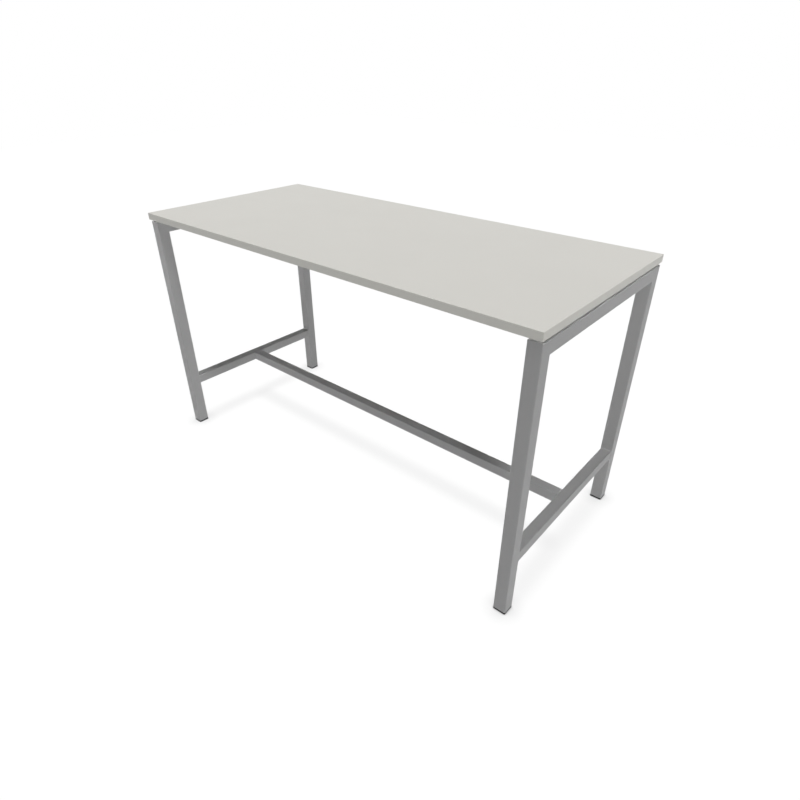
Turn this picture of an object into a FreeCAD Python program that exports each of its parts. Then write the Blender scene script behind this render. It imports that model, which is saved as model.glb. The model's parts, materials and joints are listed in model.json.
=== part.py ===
import FreeCAD, Part
import Sketcher
import math
import os
import re

# Standing meeting table: a laminated board on two mitred tube end frames, with a footrest stretcher.
# Millimetres. The origin is on the floor under the middle of the top, +X runs along the table's length,
# -Y is the front and +Z is up. Every sub-part is a body whose sizes are bound to the sheet below.

SIZES = {
    # top
    "table_length": 1800,
    "table_width": 800,
    "core_thickness": 25,
    "laminate_thickness": 0.8,
    "band_thickness": 2,
    "band_rounding": 1.5,
    "band_rim_ease": 0.1,
    "top_gap": 8,
    # end frames
    "frame_height": 975,
    "frame_end_inset": 1,
    "frame_side_inset": 8,
    "leg_tube": 45,
    "leg_wall": 2,
    "leg_corner": 3,
    "rail_tube": 40,
    "rail_wall": 2,
    "rail_corner": 3,
    "rail_top": 245,
    # long beams under the top, as a share of the table's width from its middle
    "beam_share": 0.3,
    "beam_depth": 40,
    "beam_breadth": 30,
    "beam_wall": 2,
    "beam_corner": 3,
    # spigots on the end frames, which the stretcher and the beams slide over
    "spigot_clearance": 0.3,
    "spigot_wall": 3,
    "spigot_length": 60,
    "spigot_screw_inset": 30,
    # welded tabs that the top is screwed to, with a spacer on each
    "rail_tab_share": 0.375,
    "tab_reach": 30,
    "tab_breadth": 40,
    "tab_thickness": 4,
    "spacer_inset": 2,
    "spacer_slot": 8,
    # M6 hexagon screws
    "screw_radius": 3,
    "thread_clearance": 0.05,
    "screw_hole_clearance": 0.5,
    "screw_head_flats": 10,
    "screw_head_height": 4,
    "board_screw_bite": 16,
    "board_hole_spare": 2,
    "stretcher_screw_length": 12,
    # levelling feet
    "flange_thickness": 6,
    "plug_depth": 25,
    "plug_wall": 2,
    "fin_reach": 2.2,
    "fin_clearance": 0.1,
    "fin_thickness": 1.2,
    "fin_first": 3,
    "fin_spacing": 8,
    "fin_count": 3,
    "recess_wall": 1.3,
    "boss_wall": 3,
    "boss_roof": 3,
    "rib_thickness": 2,
    "nut_across_flats": 13,
    "nut_height": 6.5,
    "nut_clearance": 0.1,
    "nut_recess": 0.5,
    "stud_radius": 4,
    "stud_length": 30,
    "stud_hole_clearance": 0.4,
    "key_flats": 4,
    "key_depth": 5,
    "key_hole_clearance": 0.6,
    "pad_clearance": 0.4,
    "pad_corner_cut": 5,
    "pad_height": 9.5,
    "pad_proud": 1,
    "pad_top_gap": 0.3,
    "pad_floor": 2.2,
    "swivel_play": 0.1,
    "socket_clearance": 0.3,
    # how far the cutting outlines run past the faces that they cut
    "cut_margin": 5,
}

# Places and lengths that follow from the sizes.
FOLLOWS = {
    "core_length": "table_length - 2 * band_thickness",
    "core_width": "table_width - 2 * band_thickness",
    "top_thickness": "core_thickness + 2 * laminate_thickness",
    "top_underside": "frame_height + top_gap",
    "frame_depth": "table_width - 2 * frame_side_inset",
    "leg_x": "table_length / 2 - frame_end_inset - leg_tube / 2",
    "leg_y": "frame_depth / 2 - leg_tube / 2",
    "leg_bore": "leg_tube - 2 * leg_wall",
    "leg_bottom": "pad_proud + flange_thickness",
    "leg_length": "frame_height - leg_bottom",
    "top_rail_z": "frame_height - leg_tube / 2",
    "top_rail_face": "leg_x - leg_tube / 2",
    "lower_rail_z": "rail_top - rail_tube / 2",
    "lower_rail_face": "leg_x - rail_tube / 2",
    "beam_offset": "table_width * beam_share",
    "beam_z": "frame_height - beam_depth / 2",
    "beam_side": "beam_offset - beam_breadth / 2",
    "spigot_gap": "2 * rail_wall + 2 * spigot_clearance",
    "rail_tab_y": "table_width * rail_tab_share",
    "tab_top": "frame_height - leg_corner",
    "spacer_height": "top_underside - tab_top",
    "screw_shank": "screw_radius - thread_clearance",
    "screw_hole": "screw_radius + screw_hole_clearance",
    "board_screw_length": "tab_thickness + spacer_height + board_screw_bite",
    "board_hole_depth": "board_screw_bite + board_hole_spare - laminate_thickness",
    "plug_core": "leg_bore - 2 * fin_reach",
    "plug_hollow": "plug_core - 2 * plug_wall",
    "fin_outside": "leg_bore - 2 * fin_clearance",
    "fin_inside": "plug_core - plug_wall",
    "recess": "plug_core - 2 * recess_wall",
    "pad_half": "recess / 2 - pad_clearance",
    "recess_roof": "pad_height + pad_top_gap - leg_bottom",
    "nut_seat": "recess_roof + nut_recess + nut_height",
    "boss_height": "nut_seat + boss_roof",
    "block_height": "recess_roof + plug_wall",
    "stud_shank": "stud_radius - thread_clearance",
    "stud_bottom": "pad_floor + swivel_play",
}

SIDES = {"left": -1, "right": 1}
ROWS = {"front": -1, "rear": 1}
HALF_TURN = 180
QUARTER_TURN = 90
SAME_PLACE = 0.001
Z_AXIS = FreeCAD.Vector(0, 0, 1)

os.makedirs("parts", exist_ok=True)
doc = FreeCAD.newDocument("standing_meeting_table")
sheet = doc.addObject("Spreadsheet::Sheet", "sizes")
for line, (alias, amount) in enumerate(SIZES.items(), start=1):
    sheet.set(f"A{line}", alias)
    sheet.set(f"B{line}", str(amount))
    sheet.setAlias(f"B{line}", alias)
doc.recompute()

pieces = []


def bound(words):
    """An expression that FreeCAD can work out, from one written with the names above."""

    def replace(match):
        name = match.group()
        if name in FOLLOWS:
            return f"({bound(FOLLOWS[name])})"
        if name in SIZES:
            return f"sizes.{name}"
        raise KeyError(f"no size is called {name}")

    return re.sub("[a-z_]+", replace, words)


def number(words):
    """What an expression comes to now."""
    return float(sheet.evalExpression(bound(words)))


def new_body(label, keep=True):
    body = doc.addObject("PartDesign::Body", label)
    body.Label = label
    if keep:
        pieces.append(body)
    return body


def base_plane(body, role):
    return next(f for f in body.Origin.OriginFeatures if f.Role == role)


def attach(feature, body, role, offset):
    """Lay a sketch or primitive on one of its body's planes, moved along the plane's normal."""
    feature.AttachmentSupport = [(base_plane(body, role), "")]
    feature.MapMode = "FlatFace"
    feature.setExpression("AttachmentOffset.Base.z", bound(offset))


def new_sketch(body, name, role, offset="0"):
    sketch = body.newObject("Sketcher::SketchObject", name)
    attach(sketch, body, role, offset)
    return sketch


def dimension(sketch, kind, where, words):
    """Add a dimension that is bound to the sheet."""
    name = f"d{sketch.ConstraintCount}"
    index = sketch.addConstraint(Sketcher.Constraint(kind, *where, number(words)))
    sketch.renameConstraint(index, name)
    sketch.setExpression(f"Constraints.{name}", bound(words))


def rounded_rectangle(sketch, wide, high, corner):
    """A rectangle with round corners, centred on the sketch's origin."""
    first = sketch.GeometryCount
    radius = number(corner)
    reach_x = number(f"({wide}) / 2") - radius
    reach_y = number(f"({high}) / 2") - radius
    centres = [
        FreeCAD.Vector(side_x * reach_x, side_y * reach_y, 0)
        for side_x, side_y in ((1, 1), (-1, 1), (-1, -1), (1, -1))
    ]
    starts = [
        FreeCAD.Vector(math.cos(turn) * radius, math.sin(turn) * radius, 0)
        for turn in (0, math.pi / 2, math.pi, 3 * math.pi / 2)
    ]
    for place, centre in enumerate(centres):
        circle = Part.Circle(centre, Z_AXIS, radius)
        angle = place * math.pi / 2
        sketch.addGeometry(Part.ArcOfCircle(circle, angle, angle + math.pi / 2))
    for place, centre in enumerate(centres):
        following = (place + 1) % 4
        start = centre + starts[following]
        end = centres[following] + starts[following]
        sketch.addGeometry(Part.LineSegment(start, end))
    arcs = [first + place for place in range(4)]
    lines = [first + 4 + place for place in range(4)]
    for place in range(4):
        sketch.addConstraint(Sketcher.Constraint("Tangent", arcs[place], 2, lines[place], 1))
        following = arcs[(place + 1) % 4]
        sketch.addConstraint(Sketcher.Constraint("Tangent", lines[place], 2, following, 1))
        level = "Horizontal" if place % 2 == 0 else "Vertical"
        sketch.addConstraint(Sketcher.Constraint(level, lines[place]))
    for arc in arcs[1:]:
        sketch.addConstraint(Sketcher.Constraint("Equal", arcs[0], arc))
    sketch.addConstraint(Sketcher.Constraint("Symmetric", arcs[0], 3, arcs[2], 3, -1, 1))
    dimension(sketch, "DistanceX", (lines[1], 1, lines[3], 2), wide)
    dimension(sketch, "DistanceY", (lines[2], 1, lines[0], 2), high)
    dimension(sketch, "Radius", (arcs[0],), corner)


def outline(sketch, points):
    """A closed outline of straight lines, each corner placed from the sketch's origin."""
    first = sketch.GeometryCount
    corners = [FreeCAD.Vector(number(across), number(along), 0) for across, along in points]
    for place, corner in enumerate(corners):
        sketch.addGeometry(Part.LineSegment(corner, corners[(place + 1) % len(corners)]))
    for place, (across, along) in enumerate(points):
        line = first + place
        following = first + (place + 1) % len(points)
        sketch.addConstraint(Sketcher.Constraint("Coincident", line, 2, following, 1))
        dimension(sketch, "DistanceX", (-1, 1, line, 1), across)
        dimension(sketch, "DistanceY", (-1, 1, line, 1), along)


def rectangle(sketch, wide, high):
    """A sharp rectangle centred on the sketch's origin."""
    right, upper = f"({wide}) / 2", f"({high}) / 2"
    left, lower = f"-1 * ({right})", f"-1 * ({upper})"
    outline(sketch, [(left, lower), (right, lower), (right, upper), (left, upper)])


def circles(sketch, radius, spots):
    for across, along in spots:
        centre = FreeCAD.Vector(number(across), number(along), 0)
        circle = sketch.addGeometry(Part.Circle(centre, Z_AXIS, number(radius)))
        dimension(sketch, "DistanceX", (-1, 1, circle, 3), across)
        dimension(sketch, "DistanceY", (-1, 1, circle, 3), along)
        dimension(sketch, "Radius", (circle,), radius)


def extrude(body, sketch, length, symmetric=False):
    pad = body.newObject("PartDesign::Pad", "pad")
    pad.Profile = sketch
    pad.SideType = "Symmetric" if symmetric else "One side"
    pad.setExpression("Length", bound(length))
    doc.recompute()
    return pad


def must_shrink(body, feature, before):
    """A cut that takes nothing away is a mistake in its direction."""
    doc.recompute()
    if body.Shape.Volume >= before:
        raise ValueError(f"{feature.Label} in {body.Label} cuts nothing")
    return feature


def cut(body, sketch, depth, against_normal=True, symmetric=False):
    before = body.Shape.Volume
    pocket = body.newObject("PartDesign::Pocket", "pocket")
    pocket.Profile = sketch
    pocket.SideType = "Symmetric" if symmetric else "One side"
    pocket.Reversed = not against_normal
    pocket.setExpression("Length", bound(depth))
    return must_shrink(body, pocket, before)


def drill(body, role, offset, spots, radius, depth, against_normal=True):
    """Round holes of one size, sunk from a plane of the body."""
    sketch = new_sketch(body, "holes", role, offset)
    circles(sketch, radius, spots)
    return cut(body, sketch, depth, against_normal)


def hexagon(body, kind, offset, across_flats, height):
    """A six-sided prism that is added to the body or taken from it, upwards from the offset."""
    before = body.Shape.Volume if kind == "Subtractive" else math.inf
    prism = body.newObject(f"PartDesign::{kind}Prism", "hexagon")
    attach(prism, body, "XY_Plane", offset)
    prism.Polygon = 6
    prism.setExpression("Circumradius", f"({bound(across_flats)}) / 2 / cos(30)")
    prism.setExpression("Height", bound(height))
    return must_shrink(body, prism, before)


def lies_at(edge, axis, level):
    """Whether an edge's ends have this coordinate along an axis."""
    places = [getattr(vertex.Point, axis) for vertex in edge.Vertexes]
    return all(math.isclose(place, level, abs_tol=SAME_PLACE) for place in places)


def runs_along(edge, length_name):
    """Whether an edge is a straight line along one axis, named by its box's length."""
    return math.isclose(getattr(edge.BoundBox, length_name), edge.Length, abs_tol=SAME_PLACE)


def edges_where(feature, wanted):
    """Names of the feature's edges that pass the test."""
    edges = enumerate(feature.Shape.Edges, start=1)
    return [f"Edge{place}" for place, edge in edges if wanted(edge)]


def round_edges(body, feature, names, radius):
    fillet = body.newObject("PartDesign::Fillet", "fillet")
    fillet.Base = (feature, names)
    fillet.setExpression("Radius", bound(radius))
    doc.recompute()
    return fillet


def place(body, across="0", along="0", up="0", turn=0):
    """Move a body to its place, turned about the vertical."""
    body.Placement = FreeCAD.Placement(FreeCAD.Vector(), FreeCAD.Rotation(Z_AXIS, turn))
    for axis, words in (("x", across), ("y", along), ("z", up)):
        body.setExpression(f".Placement.Base.{axis}", bound(words))
    doc.recompute()


def group(label, master, spots):
    """One node of identical fasteners: a copy of the master at each (x, y, z, turn)."""
    copies = []
    for across, along, up, turn in spots:
        copy = master.Shape.copy()
        centre = FreeCAD.Vector(number(across), number(along), number(up))
        spot = FreeCAD.Placement(centre, FreeCAD.Rotation(Z_AXIS, turn))
        copy.Placement = spot.multiply(copy.Placement)
        copies.append(copy)
    gathered = doc.addObject("Part::Feature", label)
    gathered.Label = label
    gathered.Shape = Part.makeCompound(copies)
    pieces.append(gathered)


def square_tube(body, role, wide, high, corner, wall, length, symmetric=True):
    """A tube with round corners outside."""
    section = new_sketch(body, "section", role)
    rounded_rectangle(section, wide, high, corner)
    rectangle(section, f"{wide} - 2 * {wall}", f"{high} - 2 * {wall}")
    return extrude(body, section, length, symmetric)


# Where the top is fixed: a tab on each top rail towards each corner, and one halfway along each beam.
FIXINGS = [
    (f"{side} * (top_rail_face - tab_reach / 2)", f"{row} * rail_tab_y", 0)
    for side in SIDES.values()
    for row in ROWS.values()
] + [
    ("0", f"{row} * (beam_side - tab_reach / 2)", QUARTER_TURN) for row in ROWS.values()
]
FIXING_HOLES = [(across, along) for across, along, _ in FIXINGS]
STRETCHER_SCREWS = [
    (f"{side} * (lower_rail_face - spigot_screw_inset)", "0") for side in SIDES.values()
]


def tabletop_core():
    """The chipboard, with a blind hole in its underside for each screw."""
    body = new_body("tabletop_core")
    plan = new_sketch(body, "plan", "XY_Plane")
    rectangle(plan, "core_length", "core_width")
    extrude(body, plan, "core_thickness")
    drill(
        body, "XY_Plane", "0", FIXING_HOLES, "screw_radius", "board_hole_depth",
        against_normal=False,
    )
    place(body, up="top_underside + laminate_thickness")


def laminate(label, up, holes):
    body = new_body(label)
    plan = new_sketch(body, "plan", "XY_Plane")
    rectangle(plan, "core_length", "core_width")
    if holes:
        circles(plan, "screw_radius", FIXING_HOLES)
    extrude(body, plan, "laminate_thickness")
    place(body, up=up)


def edge_band(label, length, ends_show, across, along, turn):
    """A plastic band with its outer edges rounded. Its outside faces -Y before it is turned."""
    body = new_body(label)
    section = new_sketch(body, "section", "YZ_Plane")
    rectangle(section, "band_thickness", "top_thickness")
    strip = extrude(body, section, length, symmetric=True)
    if ends_show:
        rims = edges_where(strip, lambda edge: runs_along(edge, "YLength"))
        strip = round_edges(body, strip, rims, "band_rounding + band_rim_ease")
    outside = -number("band_thickness") / 2
    names = edges_where(
        strip,
        lambda edge: lies_at(edge, "y", outside) and (ends_show or runs_along(edge, "XLength")),
    )
    round_edges(body, strip, names, "band_rounding")
    place(body, across, along, "top_underside + top_thickness / 2", turn)


def edge_bands():
    """The front and rear bands run the full length and cover the ends of the other two."""
    for word, row in ROWS.items():
        turn = 0 if row < 0 else HALF_TURN
        along = f"{row} * (table_width - band_thickness) / 2"
        edge_band(f"{word}_edge_band", "table_length", True, "0", along, turn)
    for word, side in SIDES.items():
        across = f"{side} * (table_length - band_thickness) / 2"
        edge_band(f"{word}_edge_band", "core_width", False, across, "0", side * QUARTER_TURN)


def leg(word, side, row):
    """A leg, cut at 45 degrees at the top where it meets the top rail. Its inner side faces +Y."""
    body = new_body(f"{word}_leg")
    square_tube(
        body, "XY_Plane", "leg_tube", "leg_tube", "leg_corner", "leg_wall", "leg_length", False
    )
    mitre = new_sketch(body, "mitre", "YZ_Plane")
    inner, upper = "leg_tube / 2 + cut_margin", "leg_length + cut_margin"
    low = "leg_length - leg_tube - cut_margin"
    outline(mitre, [(inner, low), (inner, upper), (f"-1 * ({inner})", upper)])
    cut(body, mitre, "leg_tube + 2 * cut_margin", symmetric=True)
    turn = 0 if row < 0 else HALF_TURN
    place(body, f"{side} * leg_x", f"{row} * leg_y", "leg_bottom", turn)


def top_rail(word, side):
    """A rail mitred at both ends, which closes the end frame at the top."""
    body = new_body(f"{word}_top_rail")
    square_tube(
        body, "XZ_Plane", "leg_tube", "leg_tube", "leg_corner", "leg_wall", "frame_depth"
    )
    mitre = new_sketch(body, "mitre", "YZ_Plane")
    end, low = "-1 * frame_depth / 2 - cut_margin", "-1 * leg_tube / 2 - cut_margin"
    inner = "leg_tube - frame_depth / 2 + cut_margin"
    outline(mitre, [(end, low), (inner, low), (end, "leg_tube / 2 + cut_margin")])
    first = cut(body, mitre, "leg_tube + 2 * cut_margin", symmetric=True)
    second = body.newObject("PartDesign::Mirrored", "other_mitre")
    second.Originals = [first]
    second.MirrorPlane = (base_plane(body, "XZ_Plane"), [""])
    body.Tip = second
    must_shrink(body, second, first.Shape.Volume)
    place(body, f"{side} * leg_x", "0", "top_rail_z")


def lower_rail(word, side):
    """A rail between the two legs of an end frame."""
    body = new_body(f"{word}_lower_rail")
    length = "frame_depth - 2 * leg_tube"
    square_tube(body, "XZ_Plane", "rail_tube", "rail_tube", "rail_corner", "rail_wall", length)
    place(body, f"{side} * leg_x", "0", "lower_rail_z")


def spigot(label, wide, high, tapped):
    """A stub of tube that points to +X before it is placed. One that takes a screw is tapped below."""
    body = new_body(label)
    section = new_sketch(body, "section", "YZ_Plane")
    outside = (f"{wide} - spigot_gap", f"{high} - spigot_gap")
    rectangle(section, *outside)
    rectangle(section, *[f"{size} - 2 * spigot_wall" for size in outside])
    extrude(body, section, "spigot_length")
    if tapped:
        underside = f"-1 * ({outside[1]}) / 2"
        spot = [("spigot_screw_inset", "0")]
        drill(body, "XY_Plane", underside, spot, "screw_radius", "spigot_wall", False)
    return body


def spigots():
    """Stubs welded to the end frames: one for the stretcher and one for each beam."""
    for word, side in SIDES.items():
        turn = 0 if side < 0 else HALF_TURN
        low = spigot(f"{word}_stretcher_spigot", "rail_tube", "rail_tube", tapped=True)
        place(low, f"{side} * lower_rail_face", "0", "lower_rail_z", turn)
        for row_word, row in ROWS.items():
            label = f"{row_word}_beam_{word}_spigot"
            high = spigot(label, "beam_breadth", "beam_depth", tapped=False)
            place(high, f"{side} * top_rail_face", f"{row} * beam_offset", "beam_z", turn)


def footrest_stretcher():
    """The long tube between the lower rails, held by a screw from below at each end."""
    body = new_body("footrest_stretcher")
    length = "2 * lower_rail_face"
    square_tube(body, "YZ_Plane", "rail_tube", "rail_tube", "rail_corner", "rail_wall", length)
    underside = "-1 * rail_tube / 2"
    drill(body, "XY_Plane", underside, STRETCHER_SCREWS, "screw_hole", "rail_wall", False)
    place(body, up="lower_rail_z")


def top_beam(word, row):
    """A long tube that keeps the board from sagging. The board keeps it on its spigots."""
    body = new_body(f"{word}_top_beam")
    length = "2 * top_rail_face"
    square_tube(
        body, "YZ_Plane", "beam_breadth", "beam_depth", "beam_corner", "beam_wall", length
    )
    place(body, along=f"{row} * beam_offset", up="beam_z")


def fixing_tabs():
    """Flat steel welded to the inner sides of the rails and beams, with a hole for a screw."""
    body = new_body("fixing_tab", keep=False)
    plan = new_sketch(body, "plan", "XY_Plane")
    rectangle(plan, "tab_reach", "tab_breadth")
    circles(plan, "screw_hole", [("0", "0")])
    extrude(body, plan, "tab_thickness")
    level = "tab_top - tab_thickness"
    group("fixing_tabs", body, [(across, along, level, turn) for across, along, turn in FIXINGS])


def spacers():
    """Slotted blocks that are pushed round the screws, between the tabs and the board."""
    body = new_body("spacer", keep=False)
    plan = new_sketch(body, "plan", "XY_Plane")
    right, upper = "tab_reach / 2 - spacer_inset", "tab_breadth / 2 - spacer_inset"
    left, lower = f"-1 * ({right})", f"-1 * ({upper})"
    inner, slot = "-1 * spacer_slot / 2", "spacer_slot / 2"
    outline(plan, [
        (left, lower), (right, lower), (right, inner), (inner, inner),
        (inner, slot), (right, slot), (right, upper), (left, upper),
    ])
    extrude(body, plan, "spacer_height")
    group("spacers", body, [(across, along, "tab_top", turn) for across, along, turn in FIXINGS])


def hexagon_screw(label, length):
    """A hexagon head with the plain shank pointing up from it."""
    body = new_body(label, keep=False)
    hexagon(body, "Additive", "-1 * screw_head_height", "screw_head_flats", "screw_head_height")
    shank = new_sketch(body, "shank", "XY_Plane")
    circles(shank, "screw_shank", [("0", "0")])
    extrude(body, shank, length)
    return body


def board_screws():
    master = hexagon_screw("board_screw", "board_screw_length")
    level = "tab_top - tab_thickness"
    group("board_screws", master, [(across, along, level, turn) for across, along, turn in FIXINGS])


def stretcher_screws():
    master = hexagon_screw("stretcher_screw", "stretcher_screw_length")
    level = "rail_top - rail_tube"
    group("stretcher_screws", master, [(across, along, level, 0) for across, along in STRETCHER_SCREWS])


def foot_plug(word, across, along):
    """A square plug with gripping fins, a captive nut seat in a ribbed boss and a recess for the pad."""
    body = new_body(f"{word}_foot_plug")
    flange = new_sketch(body, "flange", "XY_Plane", "-1 * flange_thickness")
    rounded_rectangle(flange, "leg_tube", "leg_tube", "leg_corner")
    extrude(body, flange, "flange_thickness")
    block = new_sketch(body, "block", "XY_Plane")
    rectangle(block, "plug_core", "plug_core")
    extrude(body, block, "block_height")
    shell = new_sketch(body, "shell", "XY_Plane")
    rectangle(shell, "plug_core", "plug_core")
    rectangle(shell, "plug_hollow", "plug_hollow")
    extrude(body, shell, "plug_depth")
    hexagon(body, "Additive", "0", "nut_across_flats + 2 * boss_wall", "boss_height")
    for wide, high in (("fin_inside", "rib_thickness"), ("rib_thickness", "fin_inside")):
        rib = new_sketch(body, "rib", "XY_Plane")
        rectangle(rib, wide, high)
        extrude(body, rib, "boss_height")
    fin = new_sketch(body, "fin", "XY_Plane", "fin_first")
    rectangle(fin, "fin_outside", "fin_outside")
    rectangle(fin, "fin_inside", "fin_inside")
    first_fin = extrude(body, fin, "fin_thickness")
    fins = body.newObject("PartDesign::LinearPattern", "fins")
    fins.Originals = [first_fin]
    fins.Direction = (base_plane(body, "Z_Axis"), [""])
    fins.setExpression("Length", bound("fin_spacing * (fin_count - 1)"))
    fins.setExpression("Occurrences", bound("fin_count"))
    body.Tip = fins
    doc.recompute()
    recess = new_sketch(body, "recess", "XY_Plane", "-1 * flange_thickness")
    rectangle(recess, "recess", "recess")
    cut(body, recess, "flange_thickness + recess_roof", against_normal=False)
    pocket = "nut_across_flats + 2 * nut_clearance"
    hexagon(body, "Subtractive", "recess_roof", pocket, "nut_recess + nut_height")
    bore = "stud_radius + stud_hole_clearance"
    drill(body, "XY_Plane", "recess_roof", [("0", "0")], bore, "plug_depth", against_normal=False)
    place(body, across, along, "leg_bottom")


def foot_nuts():
    """The nuts held in the plugs, which bear upwards on their seats."""
    body = new_body("foot_nut", keep=False)
    hexagon(body, "Additive", "0", "nut_across_flats", "nut_height")
    drill(body, "XY_Plane", "0", [("0", "0")], "stud_radius", "nut_height", against_normal=False)
    level = "leg_bottom + nut_seat - nut_height"
    group("foot_nuts", body, [(across, along, level, 0) for _, across, along in FEET])


def levelling_pad(word, across, along):
    """The pad on the floor, which the square recess keeps from turning with the stud.

    Its socket takes the stud's end, and the hole under the socket lets a key in.
    """
    body = new_body(f"{word}_levelling_pad")
    plan = new_sketch(body, "plan", "XY_Plane")
    side, cut_side = "pad_half", "(pad_half - pad_corner_cut)"
    outline(plan, [
        (side, f"-1 * {cut_side}"), (side, cut_side),
        (cut_side, side), (f"-1 * {cut_side}", side),
        (f"-1 * {side}", cut_side), (f"-1 * {side}", f"-1 * {cut_side}"),
        (f"-1 * {cut_side}", f"-1 * {side}"), (cut_side, f"-1 * {side}"),
    ])
    extrude(body, plan, "pad_height")
    centre = [("0", "0")]
    socket = "stud_radius + socket_clearance"
    drill(body, "XY_Plane", "pad_height", centre, socket, "pad_height - pad_floor")
    hexagon(body, "Subtractive", "0", "key_flats + 2 * key_hole_clearance", "pad_floor")
    place(body, across, along)


def levelling_stud(word, across, along):
    """A set screw that turns in the nut and stands in the pad, with its key socket below."""
    body = new_body(f"{word}_levelling_stud")
    shank = new_sketch(body, "shank", "XY_Plane", "stud_bottom")
    circles(shank, "stud_shank", [("0", "0")])
    extrude(body, shank, "stud_length")
    hexagon(body, "Subtractive", "stud_bottom", "key_flats", "key_depth")
    place(body, across, along)


FEET = [
    (f"{side_word}_{row_word}", f"{side} * leg_x", f"{row} * leg_y")
    for row_word, row in ROWS.items()
    for side_word, side in SIDES.items()
]


def feet():
    for word, across, along in FEET:
        foot_plug(word, across, along)
        levelling_pad(word, across, along)
        levelling_stud(word, across, along)
    foot_nuts()


def end_frames():
    for side_word, side in SIDES.items():
        for row_word, row in ROWS.items():
            leg(f"{side_word}_{row_word}", side, row)
        top_rail(side_word, side)
        lower_rail(side_word, side)


def check_and_write():
    """Write one file per piece, once everything has been worked out without an error."""
    doc.recompute()
    for item in doc.Objects:
        if {"Invalid", "Error"} & set(item.State):
            users = [user.Label for user in item.InList]
            raise ValueError(f"{item.Label}, used by {users}, failed: {item.State}")
    for piece in pieces:
        if piece.Shape.isNull() or not piece.Shape.isValid():
            raise ValueError(f"{piece.Label} has no valid shape")
    for piece in pieces:
        piece.Shape.exportStep(os.path.join("parts", f"{piece.Label}.step"))
        box = piece.Shape.BoundBox
        print(f"{piece.Label}: {len(piece.Shape.Solids)} solids, top {box.ZMax:.2f} mm")


tabletop_core()
laminate("backing_laminate", "top_underside", holes=True)
laminate("top_laminate", "top_underside + laminate_thickness + core_thickness", holes=False)
edge_bands()
end_frames()
spigots()
footrest_stretcher()
for row_word, row in ROWS.items():
    top_beam(row_word, row)
fixing_tabs()
spacers()
board_screws()
stretcher_screws()
feet()
check_and_write()
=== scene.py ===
import json
import math

import bpy
import numpy as np
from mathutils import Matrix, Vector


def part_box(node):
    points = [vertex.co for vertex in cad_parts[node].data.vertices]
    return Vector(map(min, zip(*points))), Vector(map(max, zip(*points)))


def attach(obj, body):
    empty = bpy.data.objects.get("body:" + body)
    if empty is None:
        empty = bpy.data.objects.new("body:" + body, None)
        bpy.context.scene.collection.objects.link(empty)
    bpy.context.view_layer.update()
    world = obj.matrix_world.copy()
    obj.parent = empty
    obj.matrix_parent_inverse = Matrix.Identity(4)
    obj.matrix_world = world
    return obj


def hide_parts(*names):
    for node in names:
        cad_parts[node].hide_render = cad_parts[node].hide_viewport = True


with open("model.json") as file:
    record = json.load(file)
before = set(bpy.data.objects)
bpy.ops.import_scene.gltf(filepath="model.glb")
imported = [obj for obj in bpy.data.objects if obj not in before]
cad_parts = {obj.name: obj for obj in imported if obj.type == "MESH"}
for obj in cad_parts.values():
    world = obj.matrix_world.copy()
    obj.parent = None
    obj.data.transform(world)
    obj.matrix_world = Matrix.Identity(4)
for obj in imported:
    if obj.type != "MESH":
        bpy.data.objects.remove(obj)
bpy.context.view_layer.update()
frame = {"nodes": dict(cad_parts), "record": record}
scene = bpy.context.scene
slotOfNode = {part["node"]: part["material_slot"] for part in frame["record"]["subparts"]}
print("frame loaded,", len(frame["nodes"]), "nodes")


# ---- shader groups, each used by several materials ----

def newGroup(name, inputs, outputs):
    tree = bpy.data.node_groups.new(name, "ShaderNodeTree")
    for label, kind, value in inputs:
        socket = tree.interface.new_socket(label, in_out="INPUT", socket_type=kind)
        if value is not None:
            socket.default_value = value
    for label, kind in outputs:
        tree.interface.new_socket(label, in_out="OUTPUT", socket_type=kind)
    start = tree.nodes.new("NodeGroupInput")
    end = tree.nodes.new("NodeGroupOutput")
    return tree, start.outputs, end.inputs


def addNode(tree, kind, **settings):
    node = tree.nodes.new(kind)
    for key, value in settings.items():
        setattr(node, key, value)
    return node


def feed(tree, socket, value):
    # a link where the value is another socket, and otherwise a number or colour on the socket itself
    if isinstance(value, bpy.types.NodeSocket):
        tree.links.new(value, socket)
    else:
        socket.default_value = value


def maths(tree, operation, first, second=None, third=None):
    node = addNode(tree, "ShaderNodeMath", operation=operation)
    for socket, value in zip(node.inputs, (first, second, third)):
        if value is not None:
            feed(tree, socket, value)
    return node.outputs[0]


def noiseAt(tree, vector, size, detail):
    # noise whose blobs are about size metres across
    noise = addNode(tree, "ShaderNodeTexNoise")
    feed(tree, noise.inputs["Vector"], vector)
    feed(tree, noise.inputs["Scale"], maths(tree, "DIVIDE", 1.0, size))
    feed(tree, noise.inputs["Detail"], detail)
    return noise.outputs["Fac"]


def makeSpeckle():
    # speckle: noise spread round a half, so that Contrast 1 leaves it as it is and more sharpens it
    tree, given, put = newGroup("speckle", [
        ("Vector", "NodeSocketVector", None),
        ("Size", "NodeSocketFloat", 0.001),
        ("Detail", "NodeSocketFloat", 2.0),
        ("Contrast", "NodeSocketFloat", 1.0),
    ], [("Mask", "NodeSocketFloat")])
    noise = noiseAt(tree, given["Vector"], given["Size"], given["Detail"])
    centred = maths(tree, "SUBTRACT", noise, 0.5)
    spread = maths(tree, "MULTIPLY_ADD", centred, given["Contrast"], 0.5)
    tree.links.new(maths(tree, "MAXIMUM", maths(tree, "MINIMUM", spread, 1.0), 0.0), put["Mask"])
    return tree


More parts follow.
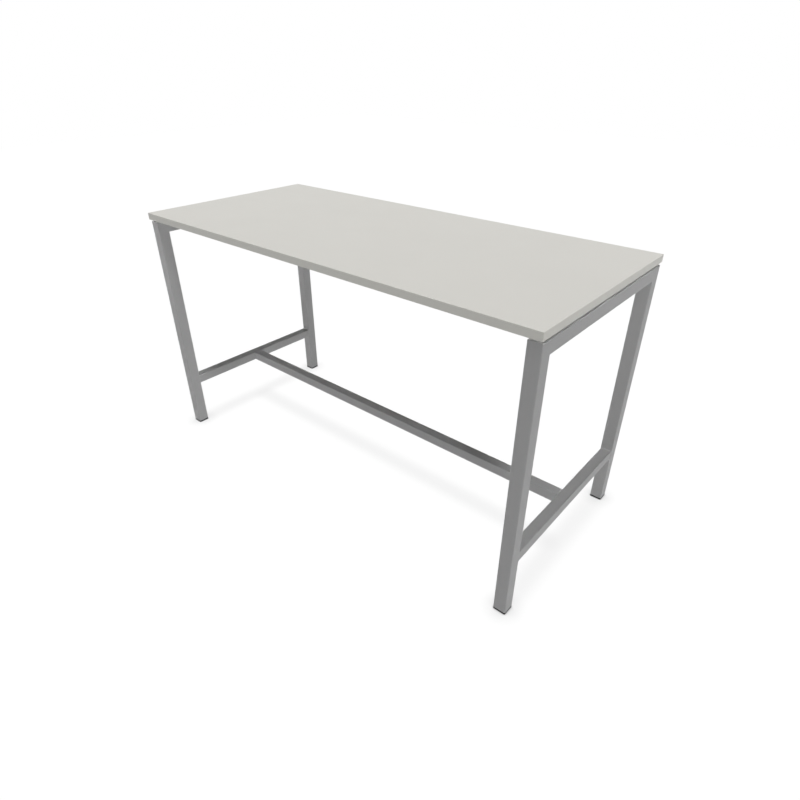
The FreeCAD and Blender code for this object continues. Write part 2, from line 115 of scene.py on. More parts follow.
def makeTint():
    # tint: a colour made lighter and darker by Amount where the mask is above or below a half
    tree, given, put = newGroup("tint", [
        ("Colour", "NodeSocketColor", (0.5, 0.5, 0.5, 1.0)),
        ("Mask", "NodeSocketFloat", 0.5),
        ("Amount", "NodeSocketFloat", 0.05),
    ], [("Colour", "NodeSocketColor")])
    centred = maths(tree, "SUBTRACT", given["Mask"], 0.5)
    factor = maths(tree, "MULTIPLY_ADD", centred, given["Amount"], 1.0)
    scaled = addNode(tree, "ShaderNodeVectorMath", operation="SCALE")
    tree.links.new(given["Colour"], scaled.inputs[0])
    tree.links.new(factor, scaled.inputs["Scale"])
    tree.links.new(scaled.outputs[0], put["Colour"])
    return tree


def makeHandling():
    # handling: roughness that wanders in soft patches, as a touched and wiped surface does
    tree, given, put = newGroup("handling", [
        ("Vector", "NodeSocketVector", None),
        ("Roughness", "NodeSocketFloat", 0.5),
        ("Spread", "NodeSocketFloat", 0.1),
        ("Size", "NodeSocketFloat", 0.08),
    ], [("Roughness", "NodeSocketFloat")])
    broad = noiseAt(tree, given["Vector"], given["Size"], 3.0)
    centred = maths(tree, "SUBTRACT", broad, 0.5)
    tree.links.new(maths(tree, "MULTIPLY_ADD", centred, given["Spread"], given["Roughness"]), put["Roughness"])
    return tree


def makeRelief():
    # relief: a fine bump of two grain sizes, Depth metres high, over edges softened by Edge metres
    tree, given, put = newGroup("relief", [
        ("Vector", "NodeSocketVector", None),
        ("Size", "NodeSocketFloat", 0.001),
        ("Depth", "NodeSocketFloat", 0.00005),
        ("Edge", "NodeSocketFloat", 0.0004),
    ], [("Normal", "NodeSocketVector"), ("Height", "NodeSocketFloat")])
    coarse = noiseAt(tree, given["Vector"], given["Size"], 1.0)
    fine = noiseAt(tree, given["Vector"], maths(tree, "MULTIPLY", given["Size"], 0.31), 1.0)
    height = maths(tree, "MULTIPLY_ADD", fine, 0.4, coarse)
    soft = addNode(tree, "ShaderNodeBevel", samples=6)
    tree.links.new(given["Edge"], soft.inputs["Radius"])
    bump = addNode(tree, "ShaderNodeBump")
    tree.links.new(given["Depth"], bump.inputs["Distance"])
    tree.links.new(height, bump.inputs["Height"])
    tree.links.new(soft.outputs[0], bump.inputs["Normal"])
    tree.links.new(bump.outputs[0], put["Normal"])
    tree.links.new(height, put["Height"])
    return tree


def makeEdgeMask():
    # edgeMask: 1 on edges and 0 on flats, from how far a rounded normal leans away from the true one
    tree, given, put = newGroup("edgeMask", [
        ("Width", "NodeSocketFloat", 0.001),
        ("Gain", "NodeSocketFloat", 6.0),
    ], [("Mask", "NodeSocketFloat")])
    soft = addNode(tree, "ShaderNodeBevel", samples=6)
    tree.links.new(given["Width"], soft.inputs["Radius"])
    geometry = addNode(tree, "ShaderNodeNewGeometry")
    dot = addNode(tree, "ShaderNodeVectorMath", operation="DOT_PRODUCT")
    tree.links.new(soft.outputs[0], dot.inputs[0])
    tree.links.new(geometry.outputs["Normal"], dot.inputs[1])
    lean = maths(tree, "SUBTRACT", 1.0, dot.outputs["Value"])
    strong = maths(tree, "MULTIPLY", lean, given["Gain"])
    tree.links.new(maths(tree, "MINIMUM", strong, 1.0), put["Mask"])
    return tree


groups = {
    "speckle": makeSpeckle(),
    "tint": makeTint(),
    "handling": makeHandling(),
    "relief": makeRelief(),
    "edgeMask": makeEdgeMask(),
}
print("shader groups made:", ", ".join(groups))


# ---- materials ----

def useGroup(tree, name, **values):
    node = addNode(tree, "ShaderNodeGroup", node_tree=groups[name])
    for key, value in values.items():
        feed(tree, node.inputs[key], value)
    return node.outputs


def newMaterial(name, metallic=0.0, specular=0.5):
    material = bpy.data.materials.new(name)
    material.use_nodes = True
    tree = material.node_tree
    shader = tree.nodes["Principled BSDF"]
    shader.inputs["Metallic"].default_value = metallic
    shader.inputs["Specular IOR Level"].default_value = specular
    position = addNode(tree, "ShaderNodeTexCoord").outputs["Object"]
    return material, tree, shader, position


def mixColours(tree, factor, first, second):
    mix = addNode(tree, "ShaderNodeMix", data_type="RGBA")
    feed(tree, mix.inputs["Factor"], factor)
    feed(tree, mix.inputs[6], first)
    feed(tree, mix.inputs[7], second)
    return mix.outputs[2]


laminateLook = {
    "colour": (0.596, 0.586, 0.553, 1.0),
    "grain": 0.0007,
    "grainDepth": 0.00003,
    "tint": 0.06,
    "cloud": 0.22,
    "cloudTint": 0.02,
    "roughness": 0.52,
    "glueWidth": 0.0003,
    "glueDarkness": 0.35,
}


def makeLaminate(name, look):
    # matt pressed laminate: fine pearl grain, faint broad clouds, patches of wiped sheen, and a
    # hairline of dark glue round its edge, where the edge band meets it
    material, tree, shader, position = newMaterial(name, specular=0.12)
    cloud = useGroup(tree, "speckle", Vector=position, Size=look["cloud"], Detail=3.0, Contrast=1.4)["Mask"]
    grain = useGroup(tree, "speckle", Vector=position, Size=look["grain"], Detail=2.0, Contrast=2.0)["Mask"]
    clouded = useGroup(tree, "tint", Colour=look["colour"], Mask=cloud, Amount=look["cloudTint"])["Colour"]
    tinted = useGroup(tree, "tint", Colour=clouded, Mask=grain, Amount=look["tint"])["Colour"]
    rim = useGroup(tree, "edgeMask", Width=look["glueWidth"], Gain=8.0)["Mask"]
    glue = tuple(channel * 0.4 for channel in look["colour"][:3]) + (1.0,)
    seamed = mixColours(tree, maths(tree, "MULTIPLY", rim, look["glueDarkness"]), tinted, glue)
    tree.links.new(seamed, shader.inputs["Base Color"])
    rough = useGroup(tree, "handling", Vector=position, Roughness=look["roughness"], Spread=0.12, Size=0.12)
    tree.links.new(rough["Roughness"], shader.inputs["Roughness"])
    relief = useGroup(tree, "relief", Vector=position, Size=look["grain"], Depth=look["grainDepth"], Edge=0.0003)
    tree.links.new(relief["Normal"], shader.inputs["Normal"])
    return material


backingLook = dict(laminateLook, colour=(0.56, 0.555, 0.53, 1.0), grain=0.0011, grainDepth=0.00003, roughness=0.6)

bandLook = {
    "colour": (0.62, 0.613, 0.575, 1.0),
    "drawn": (0.004, 0.0003),
    "tint": 0.03,
    "roughness": 0.42,
}


def makeEdgeBand(look):
    # extruded edging: faint lines drawn out along the band, and a slightly brighter rounded rim
    material, tree, shader, position = newMaterial("satinEdgeBand", specular=0.2)
    stretch = addNode(tree, "ShaderNodeMapping")
    tree.links.new(position, stretch.inputs["Vector"])
    stretch.inputs["Scale"].default_value = (0.05, 0.05, 1.0)
    lines = useGroup(
        tree, "speckle", Vector=stretch.outputs[0], Size=look["drawn"][1], Detail=1.0, Contrast=1.5,
    )["Mask"]
    tinted = useGroup(tree, "tint", Colour=look["colour"], Mask=lines, Amount=look["tint"])["Colour"]
    tree.links.new(tinted, shader.inputs["Base Color"])
    rough = useGroup(tree, "handling", Vector=position, Roughness=look["roughness"], Spread=0.14, Size=0.05)
    tree.links.new(rough["Roughness"], shader.inputs["Roughness"])
    relief = useGroup(
        tree, "relief", Vector=stretch.outputs[0], Size=look["drawn"][1], Depth=0.000008, Edge=0.0004,
    )
    tree.links.new(relief["Normal"], shader.inputs["Normal"])
    return material


coatLook = {
    "colour": (0.415, 0.415, 0.417, 1.0),
    "flake": 0.00028,
    "flakeTint": 0.16,
    "cloudTint": 0.03,
    "peel": 0.0014,
    "peelDepth": 0.00003,
    "roughness": 0.46,
}


def makePowderCoat(look):
    # silver-grey powder coat: orange-peel skin, tiny bright flakes, and edges painted lighter, a painted highlight
    # for the light their rounding catches as well as the thinner coat there
    material, tree, shader, position = newMaterial("silverPowderCoat", specular=0.14)
    flakes = useGroup(tree, "speckle", Vector=position, Size=look["flake"], Detail=0.0, Contrast=2.6)["Mask"]
    broad = useGroup(tree, "speckle", Vector=position, Size=0.09, Detail=2.0, Contrast=1.5)["Mask"]
    clouded = useGroup(tree, "tint", Colour=look["colour"], Mask=broad, Amount=look["cloudTint"])["Colour"]
    flaked = useGroup(tree, "tint", Colour=clouded, Mask=flakes, Amount=look["flakeTint"])["Colour"]
    edge = useGroup(tree, "edgeMask", Width=0.0012, Gain=2.5)["Mask"]
    # painted highlight: the edges are painted 12% lighter than the coat, for the light the rounded edges catch and
    # for the thinner coat on them
    paintedHighlightAndWearColour = tuple(1.12 * channel for channel in look["colour"][:3]) + (1.0,)
    paintedHighlightAndWear = mixColours(tree, maths(tree, "MULTIPLY", edge, 0.5), flaked, paintedHighlightAndWearColour)
    tree.links.new(paintedHighlightAndWear, shader.inputs["Base Color"])
    rough = useGroup(tree, "handling", Vector=position, Roughness=look["roughness"], Spread=0.12, Size=0.06)
    tree.links.new(rough["Roughness"], shader.inputs["Roughness"])
    relief = useGroup(
        tree, "relief", Vector=position, Size=look["peel"], Depth=look["peelDepth"], Edge=0.0006,
    )
    tree.links.new(relief["Normal"], shader.inputs["Normal"])
    return material


mouldedLook = {
    "colour": (0.009, 0.009, 0.010, 1.0),
    "grain": 0.0005,
    "grainDepth": 0.00004,
    "roughness": 0.55,
}


def makeMouldedPlastic(look):
    # spark-eroded black plastic: fine even grain, greyer where its edges are rubbed
    material, tree, shader, position = newMaterial("mouldedBlackPlastic", specular=0.1)
    grain = useGroup(tree, "speckle", Vector=position, Size=look["grain"], Detail=1.0, Contrast=2.0)["Mask"]
    tinted = useGroup(tree, "tint", Colour=look["colour"], Mask=grain, Amount=0.4)["Colour"]
    edge = useGroup(tree, "edgeMask", Width=0.0006, Gain=3.0)["Mask"]
    rubbed = mixColours(tree, maths(tree, "MULTIPLY", edge, 0.3), tinted, (0.03, 0.03, 0.03, 1.0))
    tree.links.new(rubbed, shader.inputs["Base Color"])
    rough = useGroup(tree, "handling", Vector=position, Roughness=look["roughness"], Spread=0.2, Size=0.02)
    tree.links.new(rough["Roughness"], shader.inputs["Roughness"])
    relief = useGroup(tree, "relief", Vector=position, Size=look["grain"], Depth=look["grainDepth"], Edge=0.0004)
    tree.links.new(relief["Normal"], shader.inputs["Normal"])
    return material


zincLook = {
    "colour": (0.52, 0.54, 0.57, 1.0),
    "spangle": 0.0016,
    "roughness": 0.32,
}


def makeZinc(look):
    # bright zinc plate: clouded tint from bluish to faintly yellow, brushed roughness, brighter edges
    material, tree, shader, position = newMaterial("brightZinc", metallic=0.9)
    cloud = useGroup(tree, "speckle", Vector=position, Size=look["spangle"], Detail=3.0, Contrast=2.0)["Mask"]
    passivated = mixColours(tree, cloud, look["colour"], (0.56, 0.55, 0.47, 1.0))
    edge = useGroup(tree, "edgeMask", Width=0.0004, Gain=3.0)["Mask"]
    rubbed = mixColours(tree, maths(tree, "MULTIPLY", edge, 0.5), passivated, (0.72, 0.72, 0.72, 1.0))
    tree.links.new(rubbed, shader.inputs["Base Color"])
    rough = useGroup(tree, "handling", Vector=position, Roughness=look["roughness"], Spread=0.3, Size=0.0012)
    tree.links.new(rough["Roughness"], shader.inputs["Roughness"])
    relief = useGroup(tree, "relief", Vector=position, Size=0.0004, Depth=0.00001, Edge=0.0002)
    tree.links.new(relief["Normal"], shader.inputs["Normal"])
    return material


chipLook = {
    "pale": (0.55, 0.40, 0.23, 1.0),
    "dark": (0.27, 0.17, 0.085, 1.0),
    "chip": 0.0035,
}


def makeChipboard(look):
    # pressed chips: cells of different browns with a rough broken face
    material, tree, shader, position = newMaterial("rawChipboard", specular=0.2)
    cells = addNode(tree, "ShaderNodeTexVoronoi")
    tree.links.new(position, cells.inputs["Vector"])
    cells.inputs["Scale"].default_value = 1.0 / look["chip"]
    shade = addNode(tree, "ShaderNodeSeparateColor")
    tree.links.new(cells.outputs["Color"], shade.inputs[0])
    tree.links.new(
        mixColours(tree, shade.outputs[0], look["pale"], look["dark"]), shader.inputs["Base Color"]
    )
    rough = useGroup(tree, "handling", Vector=position, Roughness=0.85, Spread=0.2, Size=0.004)
    tree.links.new(rough["Roughness"], shader.inputs["Roughness"])
    relief = useGroup(tree, "relief", Vector=position, Size=look["chip"], Depth=0.0003, Edge=0.0005)
    tree.links.new(relief["Normal"], shader.inputs["Normal"])
    return material


materialOfSlot = {
    "top_laminate": makeLaminate("mattTopLaminate", laminateLook),
    "backing_laminate": makeLaminate("plainBackingLaminate", backingLook),
    "edge_band": makeEdgeBand(bandLook),
    "chipboard": makeChipboard(chipLook),
    "frame_paint": makePowderCoat(coatLook),
    "black_plastic": makeMouldedPlastic(mouldedLook),
    "zinc_steel": makeZinc(zincLook),
}
for nodeName, nodeObject in frame["nodes"].items():
    for held in nodeObject.material_slots:
        held.material = materialOfSlot[slotOfNode[nodeName]]
print("materials made and given to the CAD nodes")


# ---- mesh helpers ----

def gridFaces(rows, columns, wrapRows=False):
    # quads between neighbouring rows of a grid whose columns close into rings
    row = np.arange(rows if wrapRows else rows - 1)[:, None]
    column = np.arange(columns)[None, :]
    above, beside = (row + 1) % rows, (column + 1) % columns
    corners = (row * columns + column, row * columns + beside, above * columns + beside, above * columns + column)
    return np.stack(np.broadcast_arrays(*corners), axis=-1).reshape(-1, 4)


def closedRings(rings):
    # rings of points from one pole to the other, with each end closed by a fan to the ring's middle
    rows, columns = rings.shape[:2]
    points = np.concatenate([rings.reshape(-1, 3), rings[:1].mean(axis=1), rings[-1:].mean(axis=1)])
    column = np.arange(columns)
    beside = (column + 1) % columns
    last = (rows - 1) * columns
    startPole = np.full(columns, rows * columns)
    startFan = np.stack([startPole, beside, column], axis=-1)
    endFan = np.stack([startPole + 1, last + column, last + beside], axis=-1)
    return points, [gridFaces(rows, columns), startFan, endFan]


def addPiece(name, parts, slotName, body, smoothAngle=None):
    # one object from several (points, faces) parts, shaded smooth up to an angle where one is given
    points, faces, before = [], [], 0
    for partPoints, partFaces in parts:
        points.append(partPoints)
        faces.extend((block + before).tolist() for block in partFaces)
        before += len(partPoints)
    mesh = bpy.data.meshes.new(name)
    mesh.from_pydata(np.concatenate(points).tolist(), [], [face for block in faces for face in block])
    mesh.materials.append(materialOfSlot[slotName])
    mesh.validate()
    if smoothAngle is not None:
        mesh.shade_smooth()
        mesh.set_sharp_from_angle(angle=math.radians(smoothAngle))
    piece = bpy.data.objects.new(name, mesh)
    scene.collection.objects.link(piece)
    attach(piece, body)
    return piece


ringColumns = 48
ringAngles = np.arange(ringColumns) * 2.0 * math.pi / ringColumns


def hexagonRadius(flats):
    # distance from the centre to a hexagon's side, half the flats over the cosine of the angle off its middle
    offMiddle = np.mod(ringAngles, math.pi / 3.0) - math.pi / 6.0
    return 0.5 * flats / np.cos(offMiddle)


def turned(rows, centre):
    # rows of (radius round the ring, height), from the inside of one end over the outside to the other
    radius = np.stack([np.broadcast_to(r, ringColumns) for r, _ in rows])
    height = np.stack([np.broadcast_to(h, ringColumns) for _, h in rows])
    x = centre[0] + radius * np.cos(ringAngles)
    y = centre[1] + radius * np.sin(ringAngles)
    return closedRings(np.stack([x, y, centre[2] + height], axis=-1))


def threadRows(look, low, high):
    # crest radius less the depth of a flat-topped V, whose phase climbs one pitch in each turn
    count = int(round((high - low) / look["pitch"] * look["rowsPerPitch"]))
    heights = np.linspace(low, high, count + 1)
    phase = heights[:, None] / look["pitch"] - ringAngles[None, :] / (2.0 * math.pi)
    ridge = np.abs(2.0 * np.mod(phase, 1.0) - 1.0)
    cut = 1.0 - np.clip((ridge - 0.12) / 0.7, 0.0, 1.0)
    runOut = np.clip(np.minimum(heights - low, high - heights) / look["runOut"], 0.0, 1.0)
    radius = look["radius"] - look["depth"] * cut * runOut[:, None]
    return list(zip(radius, heights))


# ---- levelling studs: a set screw with a rolled thread and a key socket in its lower end ----

studLook = {
    "pitch": 0.00125,
    "depth": 0.00065,
    "radius": 0.00395,
    "rowsPerPitch": 8,
    "runOut": 0.0006,
    "bevel": 0.0007,
    "keyFlats": 0.004,
    "keyDepth": 0.005,
}


def threadedStud(look, centre, length):
    key = hexagonRadius(look["keyFlats"])
    radius, bevel = look["radius"], look["bevel"]
    rows = [
        (key * 0.5, look["keyDepth"] + 0.0004),
        (key, look["keyDepth"]),
        (key, 0.0002),
        (key + 0.0002, 0.0),
        (radius - bevel, 0.0),
    ]
    rows += threadRows(look, bevel, length - bevel)
    rows += [(radius - bevel, length), (radius * 0.5, length)]
    return turned(rows, centre)


cornerWords = [f"{side}_{row}" for row in ("front", "rear") for side in ("left", "right")]
for word in cornerWords:
    low, high = (np.array(corner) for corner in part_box(f"{word}_levelling_stud"))
    middle = (low + high) / 2.0
    rod = threadedStud(studLook, (middle[0], middle[1], low[2]), high[2] - low[2])
    stud = addPiece(f"{word}_threaded_stud", [rod], "zinc_steel", f"{word}_stud", 35.0)
    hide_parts(f"{word}_levelling_stud")
print("levelling studs threaded")


# ---- hexagon screws: chamfered heads, and threads above them ----

screwLook = {
    "pitch": 0.0025,
    "depth": 0.0007,
    "radius": 0.00295,
    "rowsPerPitch": 10,
    "runOut": 0.002,
    "headFlats": 0.010,
    "headHeight": 0.004,
    "crown": 0.93,
    "crownRows": 5,
}


def hexagonScrew(look, centre, length, threadStart):
    # the crown is the smaller of the hexagon and a 30 degree cone, which leaves the curved facets
    flats, head = look["headFlats"], look["headHeight"]
    hexagon = hexagonRadius(flats)
    crown = 0.5 * flats * look["crown"]
    rise = (hexagon.max() - crown) * math.tan(math.radians(30.0))
    rows = [(crown * 0.5, -head), (crown, -head)]
    for climb in np.linspace(0.0, rise, look["crownRows"] + 1)[1:]:
        cone = crown + climb / math.tan(math.radians(30.0))
        rows.append((np.minimum(hexagon, cone), climb - head))
    rows += [(hexagon, 0.0), (look["radius"], 0.0), (look["radius"], threadStart)]
    rows += threadRows(look, threadStart + 0.0002, length - 0.001)
    rows += [(look["radius"] * 0.6, length), (look["radius"] * 0.3, length)]
    return turned(rows, centre)


tabLook = {"alongRail": 0.300, "alongBeam": 0.0, "reach": 0.030, "breadth": 0.040}


def tabSpots():
    # where each tab leaves its tube: the middle of the joint, the way out of the tube, the way along it
    spots = []
    for side, sign in (("left", -1.0), ("right", 1.0)):
        low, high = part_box(f"{side}_top_rail")
        face = high[0] if sign < 0 else low[0]
        for row in (-1.0, 1.0):
            spots.append(((face, row * tabLook["alongRail"]), (-sign, 0.0), (0.0, 1.0)))
    for row, sign in (("front", -1.0), ("rear", 1.0)):
        low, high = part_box(f"{row}_top_beam")
        face = high[1] if sign < 0 else low[1]
        spots.append(((tabLook["alongBeam"], face), (0.0, -sign), (1.0, 0.0)))
    return spots


tabLow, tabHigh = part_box("fixing_tabs")
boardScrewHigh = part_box("board_screws")[1][2]
screwParts = []
for joint, out, along in tabSpots():
    reach = tabLook["reach"] / 2.0
    spot = (joint[0] + out[0] * reach, joint[1] + out[1] * reach, tabLow[2])
    screwParts.append(hexagonScrew(screwLook, spot, boardScrewHigh - tabLow[2], 0.008))
screws = addPiece("board_hexagon_screws", screwParts, "zinc_steel", "table", 35.0)
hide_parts("board_screws")

stretcherLow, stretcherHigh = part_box("footrest_stretcher")
screwLow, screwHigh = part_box("stretcher_screws")
headMiddle = screwHigh[0] - screwLook["headFlats"] / math.sqrt(3.0)
screwParts = [
    hexagonScrew(screwLook, (sign * headMiddle, 0.0, stretcherLow[2]), screwHigh[2] - stretcherLow[2], 0.002)
    for sign in (-1.0, 1.0)
]
screws = addPiece("stretcher_hexagon_screws", screwParts, "zinc_steel", "table", 35.0)
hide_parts("stretcher_screws")
print("hexagon screws made")


# ---- weld beads under the powder coat ----

weldLook = {
    "leg": 0.0016,
    "tabLeg": 0.0025,
    "ripple": 0.0016,
    "rippleDepth": 0.12,
    "sectionPoints": 7,
    "sunk": 0.0003,
    "step": 0.0004,
}


def beadRings(path, first, second, leg, look, distances, taper):
    # a bulging quarter round between two faces: its leg swells and shrinks along the path in ripples
    ripple = 1.0 - look["rippleDepth"] * np.abs(np.sin(math.pi * distances / look["ripple"])) ** 3
    size = (leg * ripple * taper)[:, None, None]
    turn = np.linspace(0.0, math.pi / 2.0, look["sectionPoints"])
    bulge = 0.82 + 0.12 * np.sin(2.0 * turn)
    across = (np.cos(turn) * bulge / bulge[0])[None, :, None]
    up = (np.sin(turn) * bulge / bulge[0])[None, :, None]
    arc = path[:, None, :] + size * (across * first[:, None, :] + up * second[:, None, :])
    sink = look["sunk"] * (first + second)
    corner = (path - sink)[:, None, :]
    foot = arc[:, :1] - look["sunk"] * second[:, None, :]
    head = arc[:, -1:] - look["sunk"] * first[:, None, :]
    return np.concatenate([corner, foot, arc, head], axis=1)


def straightBead(start, end, first, second, leg, look):
    # both directions point away from the corner, along the two faces
    start, end = np.array(start, float), np.array(end, float)
    length = np.linalg.norm(end - start)
    count = max(int(length / look["step"]), 8)
    share = np.linspace(0.0, 1.0, count)
    path = start + share[:, None] * (end - start)
    distances = share * length
    fromEnd = np.minimum(distances, length - distances)
    taper = np.sqrt(np.clip(fromEnd / (2.0 * leg), 0.02, 1.0))
    ways = [np.broadcast_to(np.array(way, float), path.shape) for way in (first, second)]
    rings = beadRings(path, *ways, leg, look, distances, taper)
    facing = np.dot(np.cross(rings[1, 2] - rings[1, 1], path[2] - path[1]), np.add(first, second))
    if facing > 0.0:
        rings = rings[:, ::-1]
    return closedRings(rings)


def roundedSquare(half, corner, count):
    # points and outward normals of a rounded square, evenly spaced by the length walked round it
    flat, arc = 2.0 * (half - corner), 0.5 * math.pi * corner
    side = flat + arc
    walked = np.linspace(0.0, 4.0 * side, count, endpoint=False)
    quarter, rest = np.divmod(walked, side)
    onFlat = np.minimum(rest, flat)
    bend = np.maximum(rest - flat, 0.0) / corner
    x = half - corner + corner * np.cos(bend)
    y = -(half - corner) + onFlat + corner * np.sin(bend)
    spin = quarter * math.pi / 2.0
    points = np.stack([x * np.cos(spin) - y * np.sin(spin), x * np.sin(spin) + y * np.cos(spin)], axis=-1)
    normals = np.stack([np.cos(spin + bend), np.sin(spin + bend)], axis=-1)
    return points, normals, walked


def loopBead(centre, half, corner, along, leg, look):
    # round a square tube that stands on a flat face, which the tube leaves in the direction along
    count = int(8.0 * half / look["step"])
    flatPoints, flatNormals, walked = roundedSquare(half, corner, count)
    path = np.stack([flatPoints[:, 0], np.zeros(count), flatPoints[:, 1]], axis=-1) + np.array(centre)
    outward = np.stack([flatNormals[:, 0], np.zeros(count), flatNormals[:, 1]], axis=-1)
    away = np.broadcast_to(np.array([0.0, along, 0.0]), path.shape)
    rings = beadRings(path, outward, away, leg, look, walked, np.ones(count))
    if along > 0.0:
        rings = rings[:, ::-1]
    rows, columns = rings.shape[:2]
    return rings.reshape(-1, 3), [gridFaces(rows, columns, wrapRows=True)]


tabParts, railParts, cornerParts = [], [], []
for joint, out, along in tabSpots():
    half = tabLook["breadth"] / 2.0 - 0.002
    ends = [(joint[0] + s * half * along[0], joint[1] + s * half * along[1], tabLow[2]) for s in (-1.0, 1.0)]
    tabParts.append(straightBead(*ends, (0.0, 0.0, -1.0), (*out, 0.0), weldLook["tabLeg"], weldLook))
for side in ("left", "right"):
    low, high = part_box(f"{side}_lower_rail")
    middle = ((low[0] + high[0]) / 2.0, (low[2] + high[2]) / 2.0)
    for end, along in ((low[1], 1.0), (high[1], -1.0)):
        spot = (middle[0], end, middle[1])
        railParts.append(loopBead(spot, (high[0] - low[0]) / 2.0, 0.003, along, weldLook["leg"], weldLook))
    railLow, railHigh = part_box(f"{side}_top_rail")
    for end, along in ((low[1], 1.0), (high[1], -1.0)):
        ends = [(railLow[0] + 0.004, end, railLow[2]), (railHigh[0] - 0.004, end, railLow[2])]
        ways = ((0.0, 0.0, -1.0), (0.0, along, 0.0))
        cornerParts.append(straightBead(*ends, *ways, weldLook["leg"], weldLook))
addPiece("tab_weld_beads", tabParts, "frame_paint", "table", 60.0)
addPiece("lower_rail_weld_beads", railParts, "frame_paint", "table", 60.0)
addPiece("mitre_weld_beads", cornerParts, "frame_paint", "table", 60.0)
print("weld beads laid")


# ---- studio ----

studio = {
    "sky": 0.08,
    "floorGlow": 0.42,
    "fills": {
        "rightFill": ((1.0, 0.0, 0.0), 0.215),
        "leftFill": ((-1.0, 0.0, 0.0), 0.18),
        "frontFill": ((0.0, -1.0, 0.0), 0.185),
        "backFill": ((0.0, 1.0, 0.0), 0.17),
        "overheadFill": ((0.0, 0.0, 1.0), 0.57),
    },
    "fillAngle": 60.0,
    "keyFrom": (0.372, -0.133, 0.919),
    "keyLevel": 0.33,
    "keyAngle": 9.0,
    "gapLift": 0.17,
    "sheenFrom": (-0.87, -0.43, 0.1),
    "sheenLevel": 0.5,
    "floorHalf": 12.0,
    "footShades": ((0.06, 0.42), (0.007, 0.65)),  # how far from a foot, and how dark
    "railShade": 0.18,
    "railShadeAngle": 25.0,
    "floorAlbedo": 0.01,
    "cameraPlace": (1.43551, -1.54329, 1.56460),
    "cameraTurn": (58.714, 0.0, 40.553),
    "lens": 25.6308,
}


def seenDirectly(tree):
    # 1 for rays that show the backdrop itself: the camera's, mirrored ones and those through glass
    path = addNode(tree, "ShaderNodeLightPath")
    rays = [path.outputs[f"Is {kind} Ray"] for kind in ("Camera", "Glossy", "Transmission")]
    return maths(tree, "MAXIMUM", rays[0], maths(tree, "MAXIMUM", rays[1], rays[2]))


def addSun(name, towards, level, angle, shadow):
    # a level of 1 lights a white face that looks straight at it to white; a lamp without shadow stands
    # for the soft light of the room, so it is sampled by itself and leaves reflections to the backdrop
    lamp = bpy.data.lights.new(name, "SUN")
    lamp.energy = level * math.pi
    lamp.angle = math.radians(angle)
    lamp.use_shadow = shadow
    lamp.cycles.use_multiple_importance_sampling = shadow
    sun = bpy.data.objects.new(name, lamp)
    sun.visible_glossy = shadow
    x, y, z = towards
    sun.rotation_euler = (math.atan2(math.hypot(x, y), z), 0.0, math.atan2(x, -y))
    scene.collection.objects.link(sun)
    return sun


def linkNodes(name, nodes):
    held = bpy.data.collections.new(name)
    for node in nodes:
        held.objects.link(node)
    return held


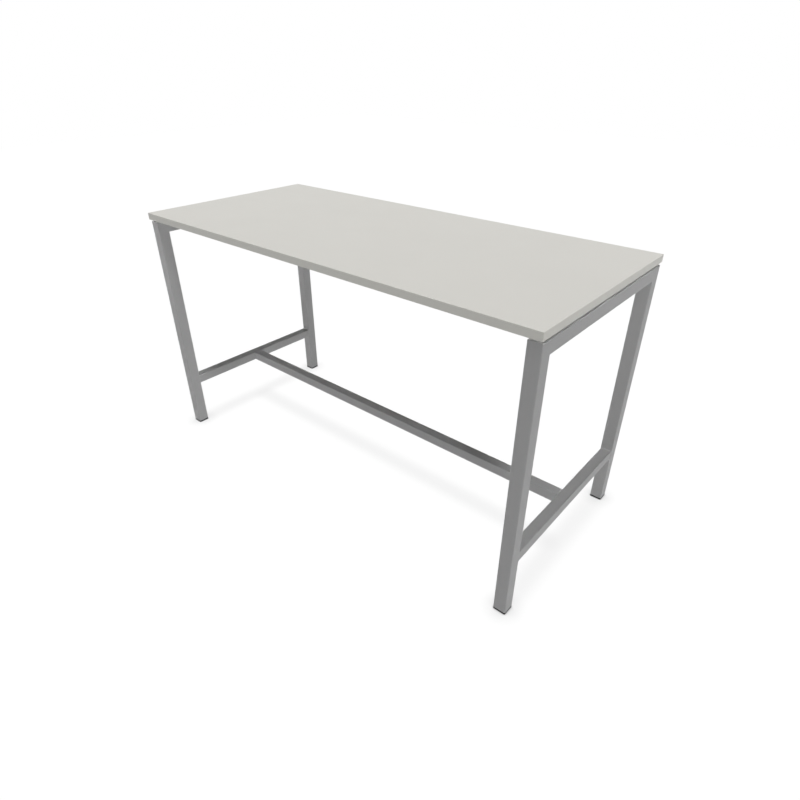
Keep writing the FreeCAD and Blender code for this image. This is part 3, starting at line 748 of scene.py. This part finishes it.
def makeFloor(look):
    # white where it is seen, with a painted shade close round the feet worked out from ambient occlusion, and darker
    # where the low rails stop an overhead lamp that lights the floor alone; on everything else it only throws back a
    # pale glow
    reach = look["floorHalf"]
    corners = [(-reach, -reach, 0.0), (reach, -reach, 0.0), (reach, reach, 0.0), (-reach, reach, 0.0)]
    mesh = bpy.data.meshes.new("studio_floor")
    mesh.from_pydata(corners, [], [(0, 1, 2, 3)])
    material = bpy.data.materials.new("paleStudioFloor")
    material.use_nodes = True
    tree = material.node_tree
    tree.nodes.clear()
    level = 1.0 - look["railShade"]
    # painted shade: the floor's white is darkened near the feet by how much of the view nearby is blocked
    for distance, share in look["footShades"]:
        near = addNode(tree, "ShaderNodeAmbientOcclusion", samples=16)
        near.inputs["Distance"].default_value = distance
        hidden = maths(tree, "SUBTRACT", 1.0, near.outputs["AO"])
        level = maths(tree, "MULTIPLY_ADD", hidden, -share, level)
    white = addNode(tree, "ShaderNodeEmission")
    tree.links.new(level, white.inputs["Strength"])
    lit = addNode(tree, "ShaderNodeBsdfDiffuse")
    lit.inputs["Color"].default_value = (look["floorAlbedo"],) * 3 + (1.0,)
    shown = addNode(tree, "ShaderNodeAddShader")
    tree.links.new(white.outputs[0], shown.inputs[0])
    tree.links.new(lit.outputs[0], shown.inputs[1])
    glow = addNode(tree, "ShaderNodeEmission")
    glow.inputs["Strength"].default_value = look["floorGlow"]
    mix = addNode(tree, "ShaderNodeMixShader")
    tree.links.new(seenDirectly(tree), mix.inputs[0])
    tree.links.new(glow.outputs[0], mix.inputs[1])
    tree.links.new(shown.outputs[0], mix.inputs[2])
    clear = addNode(tree, "ShaderNodeBsdfTransparent")  # from below the floor isn't there
    oneSided = addNode(tree, "ShaderNodeMixShader")
    tree.links.new(addNode(tree, "ShaderNodeNewGeometry").outputs["Backfacing"], oneSided.inputs[0])
    tree.links.new(mix.outputs[0], oneSided.inputs[1])
    tree.links.new(clear.outputs[0], oneSided.inputs[2])
    out = addNode(tree, "ShaderNodeOutputMaterial")
    tree.links.new(oneSided.outputs[0], out.inputs["Surface"])
    mesh.materials.append(material)
    floor = bpy.data.objects.new("studio_floor", mesh)
    scene.collection.objects.link(floor)
    lamp = addSun("floorLamp", (0.0, 0.0, 1.0), look["railShade"] / look["floorAlbedo"], look["railShadeAngle"], True)
    lowRails = [frame["nodes"][name] for name in ("footrest_stretcher", "left_lower_rail", "right_lower_rail")]
    lamp.light_linking.receiver_collection = linkNodes("floorLampLights", [floor])
    lamp.light_linking.blocker_collection = linkNodes("floorLampStoppedBy", lowRails)


def liftGap(look):
    # the top faces of the end frames, seen in the gap under the board, are lit as open top faces are
    lamp = addSun("gapLamp", (0.0, 0.0, 1.0), look["gapLift"], look["keyAngle"], False)
    tubes = [node for name, node in frame["nodes"].items() if name.endswith(("_top_rail", "_leg"))]
    lamp.light_linking.receiver_collection = linkNodes("gapLampLights", tubes)


def addSheen(look):
    # a pale window low on the front left, which shows only as a sheen on the painted tubes
    lamp = addSun("sheenLamp", look["sheenFrom"], look["sheenLevel"], look["fillAngle"], False)
    lamp.visible_diffuse = False
    lamp.visible_glossy = True
    painted = [node for name, node in frame["nodes"].items() if slotOfNode[name] == "frame_paint"]
    lamp.light_linking.receiver_collection = linkNodes("sheenLampLights", painted)


def makeWorld(look):
    world = bpy.data.worlds.new("softStudio")
    world.use_nodes = True
    tree = world.node_tree
    sky = tree.nodes["Background"]
    sky.inputs["Color"].default_value = (1.0, 1.0, 1.0, 1.0)
    level = maths(tree, "MULTIPLY_ADD", seenDirectly(tree), 1.0 - look["sky"], look["sky"])
    tree.links.new(level, sky.inputs["Strength"])
    scene.world = world


def makeCamera(look):
    lens = bpy.data.cameras.new("camera")
    lens.lens = look["lens"]
    lens.sensor_width = 36.0
    camera = bpy.data.objects.new("camera", lens)
    camera.location = look["cameraPlace"]
    camera.rotation_euler = [math.radians(turn) for turn in look["cameraTurn"]]
    scene.collection.objects.link(camera)
    scene.camera = camera


makeFloor(studio)
makeWorld(studio)
addSun("softKey", studio["keyFrom"], studio["keyLevel"], studio["keyAngle"], True)
for fillName, (towards, level) in studio["fills"].items():
    addSun(fillName, towards, level, studio["fillAngle"], False)
liftGap(studio)
addSheen(studio)
makeCamera(studio)
scene.view_settings.view_transform = "Standard"
print("studio ready")
